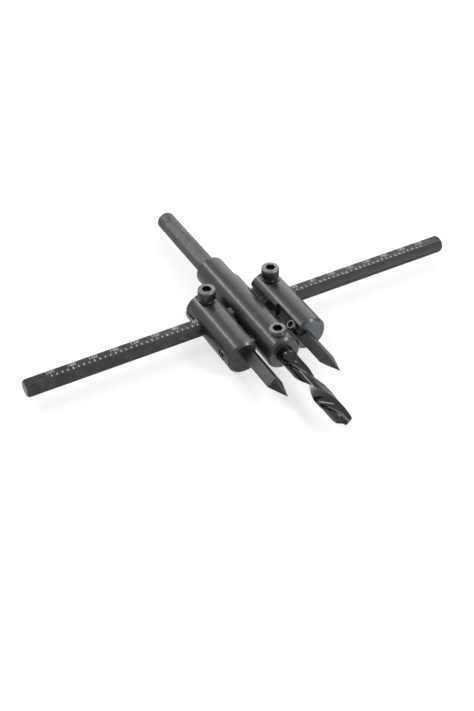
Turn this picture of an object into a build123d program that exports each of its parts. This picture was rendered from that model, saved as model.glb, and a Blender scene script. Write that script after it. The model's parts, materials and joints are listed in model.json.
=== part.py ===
"""Adjustable circle cutter: a turned body on a graduated hexagonal bar, with two clamped cutter holders.

Millimetres. The model is worked out about the point where the bar crosses the tool axis: X runs
along the bar, Y towards the shank and Z upwards as the tool lies on a bench. When the solids are
written, the whole tool moves along Y so that its origin lies on the gripping length of the shank.
"""

from build123d import *
import math
import os

# Fits
SLIDING_CLEARANCE = 0.05
SCREW_CLEARANCE = 0.05
CLAMP_HOLE_CLEARANCE = 0.25
POINT_GAP = 0.05
END_TRAVEL = 1.4

# Cross bar and its scale
BAR_ACROSS_FLATS = 7.2
BAR_LENGTH = 216.5
BAR_END_CHAMFER = 0.9
SCALE_LOWEST = 30.0
SCALE_HIGHEST = 200.0
SCALE_STEP = 5.0
MARK_WIDTH = 0.4
MARK_LENGTH = 1.3
MARK_DEPTH = 0.12

# Centre body
SHANK_DIAMETER = 9.0
SHANK_ROOT_DIAMETER = 9.2
SHANK_LENGTH = 47.5
SHANK_ROUND_LENGTH = 6.7
SHANK_END_CHAMFER = 0.5
SHANK_FLAT_DEPTH = 0.3
SHANK_FLAT_COUNT = 3
SHANK_FLAT_ANGLE = -30.0
COLLAR_DIAMETER = 14.8
COLLAR_LENGTH = 16.2
COLLAR_EDGE_CHAMFER = 0.7
BODY_DIAMETER = 16.5
BODY_REAR_LENGTH = 19.5
BODY_FRONT_LENGTH = 34.0
BODY_FRONT_CHAMFER = 1.0
BODY_REAR_CHAMFER = 0.4
BAR_SCREW_RECESS = 0.6

# Pilot drill and its set screw
DRILL_DIAMETER = 8.0
DRILL_LENGTH = 77.0
DRILL_BAR_GAP = 3.25
DRILL_FLUTED_LENGTH = 46.4
DRILL_RUNOUT_LENGTH = 4.5
DRILL_POINT_ANGLE = 118.0
DRILL_LEAD = 61.0
DRILL_HAND = -1
DRILL_WEB = 2.0
DRILL_FLUTE_RADIUS = 5.36
DRILL_MARGIN_HEIGHT = 0.2
DRILL_MARGIN_WIDTH = 0.9
DRILL_POINT_TURN = 131.4
DRILL_SHANK_RELIEF = 0.03
DRILL_OVERLAP = 1.0
DRILL_SCREW_SETBACK = 6.5
DRILL_SCREW_DIAMETER = 8.0
DRILL_SCREW_LENGTH = 6.0
DRILL_SCREW_CHAMFER = 0.5

# Cutter holders
HOLDER_DIAMETER = 16.5
HOLDER_POSITION = 16.6
HOLDER_REAR_LENGTH = 13.4
HOLDER_FRONT_LENGTH = 28.4
HOLDER_CHAMFER = 1.0
HOLDER_INNER_FLAT = 6.5
HOLDER_NOSE_FLAT = 5.2
HOLDER_NOSE_LENGTH = 19.6
SLIT_WIDTH = 1.3
SLIT_HEIGHT = 1.2
CLAMP_SCREW_BEHIND_BAR = 7.3
CLAMP_SEAT_HEIGHT = 7.4
CLAMP_SEAT_DIAMETER = 10.0

# Clamp screws, backed off by one and a half turns of thread
SMALL_SCREW_DIAMETER = 5.0
CLAMP_SCREW_LENGTH = 15.0
CLAMP_HEAD_DIAMETER = 8.2
CLAMP_HEAD_HEIGHT = 5.0
CLAMP_HEAD_CHAMFER = 0.6
CLAMP_HEAD_LIFT = 1.8
CLAMP_SOCKET = 4.0
CLAMP_SOCKET_DEPTH = 2.5

# Cutters and the screws that hold them
CUTTER_SIDE = 5.0
CUTTER_LENGTH = 47.0
CUTTER_POINT_LENGTH = 11.0
CUTTER_TIP_RISE = 1.75
CUTTER_OFFSET = 2.6
CUTTER_HEIGHT = 0.15
LEFT_CUTTER_REACH = 32.0
RIGHT_CUTTER_REACH = 28.9
CUTTER_SCREW_SETBACK = 5.9
CUTTER_SCREW_LENGTH = 3.5
CUTTER_SCREW_TILT = 45.0
SIDE_SCREW_SETBACK = 6.9
SIDE_SCREW_LENGTH = 6.8
SMALL_SOCKET = 2.5
DRILL_SCREW_SOCKET = 4.0
SOCKET_DEPTH_SHARE = 0.5

# Stations along the tool axis
COLLAR_REAR_Y = BODY_REAR_LENGTH + COLLAR_LENGTH
SHANK_END_Y = COLLAR_REAR_Y + SHANK_LENGTH
SHANK_FLAT_END_Y = SHANK_END_Y - SHANK_ROUND_LENGTH
SHANK_SEAT_Y = (SHANK_FLAT_END_Y + SHANK_END_Y - SHANK_END_CHAMFER) / 2
CUTTER_SLOT_END_Y = HOLDER_NOSE_LENGTH - HOLDER_FRONT_LENGTH

# Across the tool
BAR_CORNER_RADIUS = BAR_ACROSS_FLATS / 2 / math.cos(math.radians(30))
BAR_FACET_WIDTH = BAR_CORNER_RADIUS
CUTTER_HALF_DIAGONAL = CUTTER_SIDE / math.sqrt(2)
SCALE_READING_OFFSET = HOLDER_INNER_FLAT - CUTTER_OFFSET
BAR_SCREW_LENGTH = (BODY_DIAMETER - BAR_ACROSS_FLATS) / 2 - POINT_GAP - BAR_SCREW_RECESS

# Stations of the pilot drill, which stops short of the bar
DRILL_REAR_Y = -BAR_CORNER_RADIUS - DRILL_BAR_GAP
DRILL_BORE_END_Y = DRILL_REAR_Y + END_TRAVEL
DRILL_TIP_Y = DRILL_REAR_Y - DRILL_LENGTH
DRILL_FLUTE_START_Y = DRILL_TIP_Y + DRILL_FLUTED_LENGTH
DRILL_SCREW_Y = DRILL_SCREW_SETBACK - BODY_FRONT_LENGTH


def rod(start, end, diameter):
    """A plain cylinder between two points."""
    axis = Vector(end) - Vector(start)
    rest = Plane(origin=start, z_dir=axis)
    return rest * Cylinder(diameter / 2, axis.length, align=(Align.CENTER, Align.CENTER, Align.MIN))


def hexagon_prism(plane, across_flats, length):
    """A hexagonal prism that starts on a plane, with two flats square to the plane's own y axis."""
    outline = RegularPolygon(across_flats / 2, 6, major_radius=False)
    return extrude(plane * outline, amount=length)


def bar_prism(across_flats, length):
    """A hexagonal prism along X with a flat on top, centred on the tool axis."""
    return hexagon_prism(Plane.YZ.offset(-length / 2), across_flats, length)


def turned(profile):
    """The solid of revolution about the tool axis from (radius, y) points beside it."""
    outline = make_face(Polyline(*[(radius, y) for radius, y in profile], close=True))
    return revolve(outline, Axis.Y)


def centre_body():
    """The shank, collar and body, turned in one piece, then milled, bored and tapped."""
    shank_radius = SHANK_DIAMETER / 2
    collar_radius = COLLAR_DIAMETER / 2
    body_radius = BODY_DIAMETER / 2
    body = turned([
        (0, -BODY_FRONT_LENGTH),
        (body_radius - BODY_FRONT_CHAMFER, -BODY_FRONT_LENGTH),
        (body_radius, -BODY_FRONT_LENGTH + BODY_FRONT_CHAMFER),
        (body_radius, BODY_REAR_LENGTH - BODY_REAR_CHAMFER),
        (body_radius - BODY_REAR_CHAMFER, BODY_REAR_LENGTH),
        (collar_radius, BODY_REAR_LENGTH),
        (collar_radius, COLLAR_REAR_Y - COLLAR_EDGE_CHAMFER),
        (collar_radius - COLLAR_EDGE_CHAMFER, COLLAR_REAR_Y),
        (SHANK_ROOT_DIAMETER / 2, COLLAR_REAR_Y),
        (shank_radius, SHANK_FLAT_END_Y),
        (shank_radius, SHANK_END_Y - SHANK_END_CHAMFER),
        (shank_radius - SHANK_END_CHAMFER, SHANK_END_Y),
        (0, SHANK_END_Y),
    ])
    for index in range(SHANK_FLAT_COUNT):
        body -= shank_flat_cut(SHANK_FLAT_ANGLE + index * 360 / SHANK_FLAT_COUNT)
    body -= bar_prism(BAR_ACROSS_FLATS + 2 * SLIDING_CLEARANCE, 2 * BODY_DIAMETER)
    bore = DRILL_DIAMETER + 2 * SLIDING_CLEARANCE
    body -= rod((0, -2 * BODY_FRONT_LENGTH, 0), (0, DRILL_BORE_END_Y, 0), bore)
    drill_screw_hole = DRILL_SCREW_DIAMETER + 2 * SCREW_CLEARANCE
    body -= rod((0, DRILL_SCREW_Y, 0), (0, DRILL_SCREW_Y, BODY_DIAMETER), drill_screw_hole)
    body -= rod((0, 0, 0), (0, 0, -BODY_DIAMETER), SMALL_SCREW_DIAMETER + 2 * SCREW_CLEARANCE)
    return body


def shank_flat_cut(angle):
    """The slab milled off the shank for one chuck jaw, from the collar to the round end."""
    length = SHANK_FLAT_END_Y - COLLAR_REAR_Y
    slab = Pos(0, COLLAR_REAR_Y + length / 2, SHANK_DIAMETER - SHANK_FLAT_DEPTH) * Box(
        SHANK_DIAMETER, length, SHANK_DIAMETER
    )
    return Rot(0, angle, 0) * slab


def cross_bar():
    """The hexagonal bar with turned ends and the engraved marks of its two scales."""
    envelope = rod((-BAR_LENGTH / 2, 0, 0), (BAR_LENGTH / 2, 0, 0), 2 * BAR_CORNER_RADIUS)
    envelope = chamfer(envelope.edges().filter_by(GeomType.CIRCLE), BAR_END_CHAMFER)
    bar = bar_prism(BAR_ACROSS_FLATS, BAR_LENGTH) & envelope
    return bar - scale_marks()


def scale_marks():
    """One thin block for each engraved mark, along the front edge of the bar's top flat."""
    steps = int(round((SCALE_HIGHEST - SCALE_LOWEST) / SCALE_STEP))
    marks = []
    for step in range(steps + 1):
        x = (SCALE_LOWEST + step * SCALE_STEP) / 2 - SCALE_READING_OFFSET
        y = (MARK_LENGTH - BAR_FACET_WIDTH) / 2
        block = Box(MARK_WIDTH, MARK_LENGTH, 2 * MARK_DEPTH)
        marks += [Pos(side * x, y, BAR_ACROSS_FLATS / 2) * block for side in (-1, 1)]
    return marks


def pilot_drill():
    """A twist drill: round lands with raised margins, two helical flutes, a conical run-out and a point."""
    radius = DRILL_DIAMETER / 2
    drill = drill_round(radius - DRILL_MARGIN_HEIGHT)
    for strip in twisted(margin_section()):
        drill += strip & drill_round(radius)
    for flute in twisted(flute_section()):
        drill -= flute
    shank_radius = radius - DRILL_SHANK_RELIEF
    runout_end_y = DRILL_FLUTE_START_Y - DRILL_RUNOUT_LENGTH
    shank = turned([
        (0, DRILL_REAR_Y),
        (shank_radius, DRILL_REAR_Y),
        (shank_radius, DRILL_FLUTE_START_Y),
        (DRILL_WEB / 2, runout_end_y),
        (0, runout_end_y),
    ])
    return (drill + shank) & drill_point_envelope()


def drill_round(radius):
    """A plain round over the drill's twisted length."""
    rear = (0, DRILL_FLUTE_START_Y + DRILL_OVERLAP, 0)
    return rod((0, DRILL_TIP_Y - DRILL_OVERLAP, 0), rear, 2 * radius)


def twisted(section):
    """Each face of a drill section, swept with the drill's twist from inside its shank to past its point."""
    start_y = DRILL_FLUTE_START_Y + DRILL_OVERLAP
    length = start_y - DRILL_TIP_Y + DRILL_OVERLAP
    twist = DRILL_HAND * 360 / DRILL_LEAD
    start_turn = DRILL_POINT_TURN - twist * (start_y - DRILL_TIP_Y)
    start = Plane(origin=(0, start_y, 0), x_dir=(1, 0, 0), z_dir=(0, -1, 0))
    for face in (start * Rot(0, 0, start_turn) * section).faces():
        yield Solid.extrude_linear_with_rotation(
            face, center=(0, start_y, 0), normal=(0, -length, 0), angle=twist * length
        )


def flute_section():
    """The two round-bottomed flutes in the drill's section, with the web between them."""
    reach = Circle(DRILL_DIAMETER / 2 + DRILL_OVERLAP)
    centre = DRILL_WEB / 2 + DRILL_FLUTE_RADIUS
    flute = Pos(0, centre) * Circle(DRILL_FLUTE_RADIUS) & reach
    return flute + Rot(0, 0, 180) * flute


def margin_section():
    """The two raised margins in the drill's section, each on the leading edge of its land."""
    radius = DRILL_DIAMETER / 2
    flute_centre = DRILL_WEB / 2 + DRILL_FLUTE_RADIUS
    land_edge = (radius ** 2 + flute_centre ** 2 - DRILL_FLUTE_RADIUS ** 2) / (2 * flute_centre)
    ring = Circle(radius + DRILL_OVERLAP) - Circle(radius - 2 * DRILL_MARGIN_HEIGHT)
    middle = DRILL_HAND * (land_edge - DRILL_MARGIN_WIDTH + radius / 2)
    margin = ring & Pos(radius, middle) * Rectangle(2 * radius, radius)
    return margin + Rot(0, 0, 180) * margin


def drill_point_envelope():
    """The round that the drill is ground from, with its point and more than its width everywhere else."""
    clear_radius = DRILL_DIAMETER
    point_length = clear_radius / math.tan(math.radians(DRILL_POINT_ANGLE / 2))
    return turned([
        (0, DRILL_REAR_Y + DRILL_OVERLAP),
        (clear_radius, DRILL_REAR_Y + DRILL_OVERLAP),
        (clear_radius, DRILL_TIP_Y + point_length),
        (0, DRILL_TIP_Y),
    ])


def grub_screw(start, direction, diameter, length, socket):
    """A headless screw that points from its tip at start out along a direction, with a hexagon socket."""
    seat = Plane(origin=start, z_dir=direction)
    screw = rod((0, 0, 0), (0, 0, length), diameter)
    socket_depth = SOCKET_DEPTH_SHARE * length
    screw -= hexagon_prism(Plane.XY.offset(length - socket_depth), socket, length)
    return seat * screw


def pilot_set_screw():
    """The large grub screw on top of the nose, down on the drill's shank."""
    tip = (0, DRILL_SCREW_Y, DRILL_DIAMETER / 2 + POINT_GAP)
    screw = grub_screw(tip, (0, 0, 1), DRILL_SCREW_DIAMETER, DRILL_SCREW_LENGTH, DRILL_SCREW_SOCKET)
    top_rim = screw.edges().filter_by(GeomType.CIRCLE).sort_by(Axis.Z)[-1]
    return chamfer(top_rim, DRILL_SCREW_CHAMFER)


def bar_set_screw():
    """The grub screw under the body that holds the bar at its middle."""
    tip = (0, 0, -BAR_ACROSS_FLATS / 2 - POINT_GAP)
    return grub_screw(tip, (0, 0, -1), SMALL_SCREW_DIAMETER, BAR_SCREW_LENGTH, SMALL_SOCKET)


def cutter_screw_direction():
    """The way out of the inner cutter screw, up and towards the body, for the right-hand holder."""
    tilt = math.radians(CUTTER_SCREW_TILT)
    return Vector(-math.cos(tilt), 0, math.sin(tilt))


def cutter_centre(setback):
    """A point on the cutter's axis, this far behind the nose of the right-hand holder."""
    return Vector(HOLDER_POSITION - CUTTER_OFFSET, setback - HOLDER_FRONT_LENGTH, CUTTER_HEIGHT)


def diamond_prism(side_length, front_y, rear_y):
    """A square bar along Y, standing on its edge at the right-hand cutter's place."""
    centre = cutter_centre(0)
    start = Plane(origin=(centre.X, rear_y, centre.Z), x_dir=(1, 0, 0), z_dir=(0, -1, 0))
    return extrude(start * Rectangle(side_length, side_length, rotation=45), amount=rear_y - front_y)


def right_holder():
    """The right-hand holder, turned, slit into a clamp at the bar and broached for the cutter."""
    radius = HOLDER_DIAMETER / 2
    rear_y = HOLDER_REAR_LENGTH
    front_y = -HOLDER_FRONT_LENGTH
    holder = Pos(HOLDER_POSITION, 0, 0) * turned([
        (0, front_y),
        (radius - HOLDER_CHAMFER, front_y),
        (radius, front_y + HOLDER_CHAMFER),
        (radius, rear_y - HOLDER_CHAMFER),
        (radius - HOLDER_CHAMFER, rear_y),
        (0, rear_y),
    ])
    holder -= inner_face_cut(HOLDER_INNER_FLAT, front_y, rear_y)
    holder -= inner_face_cut(HOLDER_NOSE_FLAT, front_y, CUTTER_SLOT_END_Y)
    holder -= bar_prism(BAR_ACROSS_FLATS + 2 * SLIDING_CLEARANCE, 2 * (HOLDER_POSITION + HOLDER_DIAMETER))
    holder -= Pos(HOLDER_POSITION, rear_y, SLIT_HEIGHT) * Box(HOLDER_DIAMETER, 2 * rear_y, SLIT_WIDTH)
    for cut in clamp_screw_cuts():
        holder -= cut
    holder -= diamond_prism(CUTTER_SIDE + 2 * SLIDING_CLEARANCE, front_y - 1, CUTTER_SLOT_END_Y)
    screw_hole = SMALL_SCREW_DIAMETER + 2 * SCREW_CLEARANCE
    outward = cutter_screw_direction()
    for setback, direction in ((CUTTER_SCREW_SETBACK, outward), (SIDE_SCREW_SETBACK, Vector(1, 0, 0))):
        start = cutter_centre(setback)
        holder -= rod(start, start + direction * HOLDER_DIAMETER, screw_hole)
    return holder


def inner_face_cut(distance, front_y, rear_y):
    """What is milled off the side of the right-hand holder that faces the body."""
    x = HOLDER_POSITION - distance - HOLDER_DIAMETER / 2
    y = (front_y + rear_y) / 2
    return Pos(x, y, 0) * Box(HOLDER_DIAMETER, rear_y - front_y, HOLDER_DIAMETER)


def clamp_screw_cuts():
    """The clamp screw's flat seat, its clearance hole in the upper jaw and its thread in the lower one."""
    x = HOLDER_POSITION
    y = CLAMP_SCREW_BEHIND_BAR
    top = (x, y, HOLDER_DIAMETER)
    yield rod((x, y, CLAMP_SEAT_HEIGHT), top, CLAMP_SEAT_DIAMETER)
    yield rod((x, y, SLIT_HEIGHT), top, SMALL_SCREW_DIAMETER + 2 * CLAMP_HOLE_CLEARANCE)
    yield rod((x, y, -HOLDER_DIAMETER), top, SMALL_SCREW_DIAMETER + 2 * SCREW_CLEARANCE)


def right_clamp_screw():
    """The socket head screw that closes the clamp, standing a little off its seat."""
    seat = CLAMP_SEAT_HEIGHT + CLAMP_HEAD_LIFT
    head = rod((0, 0, 0), (0, 0, CLAMP_HEAD_HEIGHT), CLAMP_HEAD_DIAMETER)
    head = chamfer(head.edges().filter_by(GeomType.CIRCLE).sort_by(Axis.Z)[-1], CLAMP_HEAD_CHAMFER)
    socket_floor = Plane.XY.offset(CLAMP_HEAD_HEIGHT - CLAMP_SOCKET_DEPTH)
    head -= hexagon_prism(socket_floor, CLAMP_SOCKET, CLAMP_HEAD_HEIGHT)
    stem = rod((0, 0, -CLAMP_SCREW_LENGTH), (0, 0, 0), SMALL_SCREW_DIAMETER)
    return Pos(HOLDER_POSITION, CLAMP_SCREW_BEHIND_BAR, seat) * (head + stem)


def right_cutter(reach):
    """A square cutter on edge, ground to a four-sided spear point that reaches ahead of the holder."""
    tip_y = -HOLDER_FRONT_LENGTH - reach
    bend_y = tip_y + CUTTER_POINT_LENGTH
    stem = diamond_prism(CUTTER_SIDE, bend_y, tip_y + CUTTER_LENGTH)
    base = stem.faces().sort_by(Axis.Y)[0]
    centre = cutter_centre(0)
    tip = Vertex(centre.X, tip_y, centre.Z + CUTTER_TIP_RISE)
    return stem + loft([base, tip])


def right_cutter_screw():
    """The slanted grub screw on the inner side of the holder, down on the cutter's flank."""
    outward = cutter_screw_direction()
    tip = cutter_centre(CUTTER_SCREW_SETBACK) + outward * (CUTTER_SIDE / 2 + POINT_GAP)
    return grub_screw(tip, outward, SMALL_SCREW_DIAMETER, CUTTER_SCREW_LENGTH, SMALL_SOCKET)


def right_side_screw():
    """The level grub screw on the outer side of the holder, against the cutter's edge."""
    tip = cutter_centre(SIDE_SCREW_SETBACK) + Vector(CUTTER_HALF_DIAGONAL + POINT_GAP, 0, 0)
    return grub_screw(tip, (1, 0, 0), SMALL_SCREW_DIAMETER, SIDE_SCREW_LENGTH, SMALL_SOCKET)


def build_nodes():
    """Every sub-part of the tool by its node name."""
    nodes = {
        "centre_body": centre_body(),
        "cross_bar": cross_bar(),
        "bar_set_screw": bar_set_screw(),
        "pilot_drill": pilot_drill(),
        "pilot_set_screw": pilot_set_screw(),
        "right_holder": right_holder(),
        "right_clamp_screw": right_clamp_screw(),
        "right_cutter": right_cutter(RIGHT_CUTTER_REACH),
        "right_cutter_screw": right_cutter_screw(),
        "right_side_screw": right_side_screw(),
    }
    for name in ("holder", "clamp_screw", "cutter_screw", "side_screw"):
        nodes["left_" + name] = mirror(nodes["right_" + name], about=Plane.YZ)
    nodes["left_cutter"] = mirror(right_cutter(LEFT_CUTTER_REACH), about=Plane.YZ)
    return nodes


os.makedirs("parts", exist_ok=True)
for node_name, node_shape in build_nodes().items():
    export_step(Pos(0, -SHANK_SEAT_Y, 0) * node_shape, "parts/" + node_name + ".step")
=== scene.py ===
"""The finished look of an adjustable circle cutter: blackened steel, painted scales, threads and flutes.

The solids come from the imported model. Sizes here are millimetres about the point where the cross bar
meets the tool axis, with X along the bar, Y towards the shank and Z up. Every mesh is brought to the
row frame, in metres, when it is made.
"""

import json
import logging
import math
from contextlib import contextmanager
from dataclasses import dataclass, replace
from enum import Enum
from functools import partial
from typing import Callable, Iterable, Iterator, NamedTuple, Sequence

import bmesh
import bpy
import numpy as np
from bpy.types import Material, Mesh, Node, NodeSocket, NodeTree, Object
from mathutils import Matrix, Vector

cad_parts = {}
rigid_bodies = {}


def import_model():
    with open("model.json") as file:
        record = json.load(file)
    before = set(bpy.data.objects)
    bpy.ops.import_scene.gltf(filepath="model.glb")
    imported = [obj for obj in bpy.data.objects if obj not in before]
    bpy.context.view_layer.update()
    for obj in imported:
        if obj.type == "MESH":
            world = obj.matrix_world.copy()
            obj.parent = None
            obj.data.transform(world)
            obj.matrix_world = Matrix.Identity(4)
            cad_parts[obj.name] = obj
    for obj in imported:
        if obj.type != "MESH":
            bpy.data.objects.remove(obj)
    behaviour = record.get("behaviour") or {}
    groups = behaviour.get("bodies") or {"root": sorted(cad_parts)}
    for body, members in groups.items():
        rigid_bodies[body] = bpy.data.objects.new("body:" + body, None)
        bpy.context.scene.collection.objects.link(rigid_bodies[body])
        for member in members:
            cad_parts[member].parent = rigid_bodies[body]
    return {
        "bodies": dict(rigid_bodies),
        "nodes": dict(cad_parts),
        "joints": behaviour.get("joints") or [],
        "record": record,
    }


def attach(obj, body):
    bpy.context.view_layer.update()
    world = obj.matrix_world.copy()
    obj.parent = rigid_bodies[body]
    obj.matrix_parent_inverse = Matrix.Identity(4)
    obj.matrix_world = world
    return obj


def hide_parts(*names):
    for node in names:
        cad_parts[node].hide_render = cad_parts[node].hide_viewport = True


LOG = logging.getLogger("circle_cutter")
MM = 0.001
SHANK_SEAT_Y = 79.6
BODY_RADIUS = 8.25
BENCH_Z = -BODY_RADIUS
CLEARANCE = 0.05
EDGE_SAMPLES = 6
ZONE_MARGIN = 0.1
END_FACE = 0.9
ALONG = Vector((0, 1, 0))
UP = Vector((0, 0, 1))
WHITE = (1.0, 1.0, 1.0, 1.0)
GEOMETRY = "NodeSocketGeometry"
SOCKET_TYPES = {float: "NodeSocketFloat", int: "NodeSocketInt", Vector: "NodeSocketVector",
                tuple: "NodeSocketColor"}

Colour = tuple[float, float, float]
Point = tuple[float, float, float]


def row_point(x: float, y: float, z: float) -> Vector:
    """Brings a point of the tool, in millimetres, to the row frame, in metres."""
    return Vector((x * MM, (y - SHANK_SEAT_Y) * MM, z * MM))


class Side(Enum):
    """Which side of the body a tool arm stands on, with the sign of its X."""

    LEFT = -1
    RIGHT = 1

    @property
    def label(self) -> str:
        """The side's word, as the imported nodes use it."""
        return self.name.lower()


class Head(Enum):
    """The two kinds of screw on the tool."""

    CAP = "cap"
    GRUB = "grub"


@dataclass(frozen=True)
class Finish:
    """One surface finish of the tool.

    Attributes:
        name: The material's name.
        colour: The colour of the oxide film.
        bright: The colour where the film has rubbed thin.
        metallic: How metallic the surface is.
        roughness: The middle roughness.
        edge_tint: How much of a metal's usual glare is left at a grazing angle.
        coat: Weight of the oil film on top.
        coat_roughness: The film's own roughness.
        mottle: How strongly the film's colour varies.
        mottle_scale: How fine that variation is, per metre.
        wear: How far edges have rubbed bright.
        line_depth: Depth of the machining lines, in metres.
        line_density: Machining lines per metre.
        line_centre: The lines' axis in the row frame, as X and Z, for turned work.
        turned: True for rings about an axis along Y, False for lines along the bar.
    """

    name: str
    colour: Colour
    bright: Colour = (0.30, 0.31, 0.32)
    metallic: float = 0.75
    roughness: float = 0.38
    edge_tint: float = 0.8
    coat: float = 0.0
    coat_roughness: float = 0.08
    mottle: float = 0.35
    mottle_scale: float = 260.0
    wear: float = 0.5
    line_depth: float = 2.0e-6
    line_density: float = 5200.0
    line_centre: tuple[float, float] = (0.0, 0.0)
    turned: bool = True


SCREW_BLACK = Finish("screw black", (0.060, 0.062, 0.064), metallic=0.9, roughness=0.36, wear=0.7,
                     line_depth=0.5e-6)
# Lighter end ring of each screw: partly worn metal, partly a painted highlight.
SCREW_END_WEAR_AND_HIGHLIGHT = replace(SCREW_BLACK, name="screw rubbed", colour=(0.15, 0.155, 0.16), roughness=0.34, wear=0.4)
BODY_OXIDE = Finish("body oxide", (0.034, 0.035, 0.038), metallic=0.6, roughness=0.42, coat=0.36,
                    coat_roughness=0.17, wear=0.55)
BODY_FACED = Finish("body nose faced", (0.120, 0.128, 0.137), metallic=0.9, roughness=0.36)
SHANK_GROUND = Finish("shank ground", (0.088, 0.093, 0.093), metallic=0.5, roughness=0.52, edge_tint=0.7,
                      wear=0.6)
BAR_OXIDE = Finish("bar oxide", (0.050, 0.052, 0.053), metallic=0.92, roughness=0.27, edge_tint=0.4,
                   mottle=0.6, wear=0.55, line_depth=1.5e-6, line_density=3500.0, turned=False)
BAR_FACED = Finish("bar end faced", (0.17, 0.18, 0.185), metallic=0.8, line_depth=1.0e-6)
DRILL_BLACK = Finish("drill olive black", (0.020, 0.0165, 0.0145), bright=(0.16, 0.17, 0.17), roughness=0.13,
                     edge_tint=0.7, coat=0.42, mottle=0.30, wear=0.55, line_depth=0.8e-6)
CUTTER_GROUND = Finish("cutter ground", (0.100, 0.102, 0.109), metallic=0.9, roughness=0.42, mottle=0.4,
                       wear=0.8, line_depth=2.5e-6, line_density=2600.0)
CUTTER_POINT = replace(CUTTER_GROUND, name="cutter point", roughness=0.40, mottle=0.5, line_depth=1.5e-6,
                       line_density=3800.0)


class Graph:
    """Places nodes in a node tree and joins them."""

    def __init__(self, tree: NodeTree) -> None:
        """Starts on an existing tree.

        Args:
            tree: The tree that the nodes go into.
        """
        self.tree = tree
        self.plus, self.minus = partial(self.math, "ADD"), partial(self.math, "SUBTRACT")
        self.times, self.over = partial(self.math, "MULTIPLY"), partial(self.math, "DIVIDE")

    def add(self, kind: str, inputs: dict | None = None, **settings: object) -> Node:
        """Adds one node.

        Args:
            kind: The node's type name.
            inputs: Socket name or index to a plain value or a socket to join.
            **settings: Properties set on the node before its sockets are used.

        Returns:
            The new node.
        """
        node = self.tree.nodes.new(kind)
        for name, value in settings.items():
            setattr(node, name, value)
        self.feed(node, inputs or {})
        return node

    def feed(self, node: Node, values: dict) -> None:
        """Gives a node's sockets plain values or joins them to other sockets.

        Args:
            node: The node.
            values: Socket name or index to a number, colour, vector or output socket.
        """
        for key, value in values.items():
            if isinstance(value, NodeSocket):
                self.tree.links.new(value, node.inputs[key])
            else:
                node.inputs[key].default_value = value

    def math(self, operation: str, *values: object, clamp: bool = False) -> NodeSocket:
        """Adds a maths node and gives its result, kept between 0 and 1 where it is clamped."""
        inputs = dict(enumerate(values))
        return self.add("ShaderNodeMath", inputs, operation=operation, use_clamp=clamp).outputs[0]

    def distance(self, first: object, second: object) -> NodeSocket:
        """Gives how far a point of a plane is from its origin."""
        return self.math("SQRT", self.plus(self.times(first, first), self.times(second, second)))

    def ramp(self, value: object, low: float, high: float, start: float = 0.0,
             end: float = 1.0) -> NodeSocket:
        """Maps low to high onto start to end, clamped at both ends."""
        return self.add("ShaderNodeMapRange", {0: value, 1: low, 2: high, 3: start, 4: end}).outputs[0]

    def mix_colour(self, factor: object, first: object, second: object) -> NodeSocket:
        """Mixes two colours, with the factor as the second one's share."""
        return self.add("ShaderNodeMix", {0: factor, 6: first, 7: second}, data_type="RGBA").outputs[2]

    def vector_math(self, operation: str, inputs: dict) -> NodeSocket:
        """Adds a vector maths node and gives its result: a number for a dot product or a length."""
        node = self.add("ShaderNodeVectorMath", inputs, operation=operation)
        return node.outputs["Value" if operation in ("DOT_PRODUCT", "LENGTH") else "Vector"]

    def parts(self, vector: NodeSocket) -> tuple[NodeSocket, ...]:
        """Splits a vector into X, Y and Z."""
        return tuple(self.add("ShaderNodeSeparateXYZ", {0: vector}).outputs)

    def vector(self, x: object, y: object, z: object) -> NodeSocket:
        """Joins three values into a vector."""
        return self.add("ShaderNodeCombineXYZ", {"X": x, "Y": y, "Z": z}).outputs[0]

    def place(self) -> NodeSocket:
        """Gives the Object coordinates of the shaded point."""
        return self.add("ShaderNodeTexCoord").outputs["Object"]

    def noise(self, place: NodeSocket, scale: object, detail: float,
              roughness: float = 0.5) -> NodeSocket:
        """Adds a noise texture and gives its value."""
        inputs = {"Vector": place, "Scale": scale, "Detail": detail, "Roughness": roughness}
        return self.add("ShaderNodeTexNoise", inputs).outputs["Fac"]

    def backdrop_rays(self) -> NodeSocket:
        """Tells what the camera sees, also in a mirror or through glass, from light.

        Returns:
            1 for what is seen, 0 for light.
        """
        rays = self.add("ShaderNodeLightPath").outputs
        direct = self.math("MAXIMUM", rays["Is Camera Ray"], rays["Is Glossy Ray"])
        return self.math("MAXIMUM", direct, rays["Is Transmission Ray"])


class Group(Graph):
    """A node group with named inputs and outputs."""

    def __init__(self, name: str, inputs: dict[str, object], outputs: dict[str, object],
                 tree_type: str = "ShaderNodeTree") -> None:
        """Makes the group and its sockets.

        Args:
            name: The group's name.
            inputs: Input name to default value, or to a socket type where it has none.
            outputs: Output name to a value of its kind, or to a socket type.
            tree_type: The tree's type name.
        """
        super().__init__(bpy.data.node_groups.new(name, tree_type))
        for way, sockets in (("INPUT", inputs), ("OUTPUT", outputs)):
            for label, sample in sockets.items():
                kind = SOCKET_TYPES.get(type(sample), sample)
                socket = self.tree.interface.new_socket(label, in_out=way, socket_type=kind)
                if way == "INPUT" and kind != sample:
                    socket.default_value = sample
        self.given = self.add("NodeGroupInput").outputs
        self.target = self.add("NodeGroupOutput")


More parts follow.
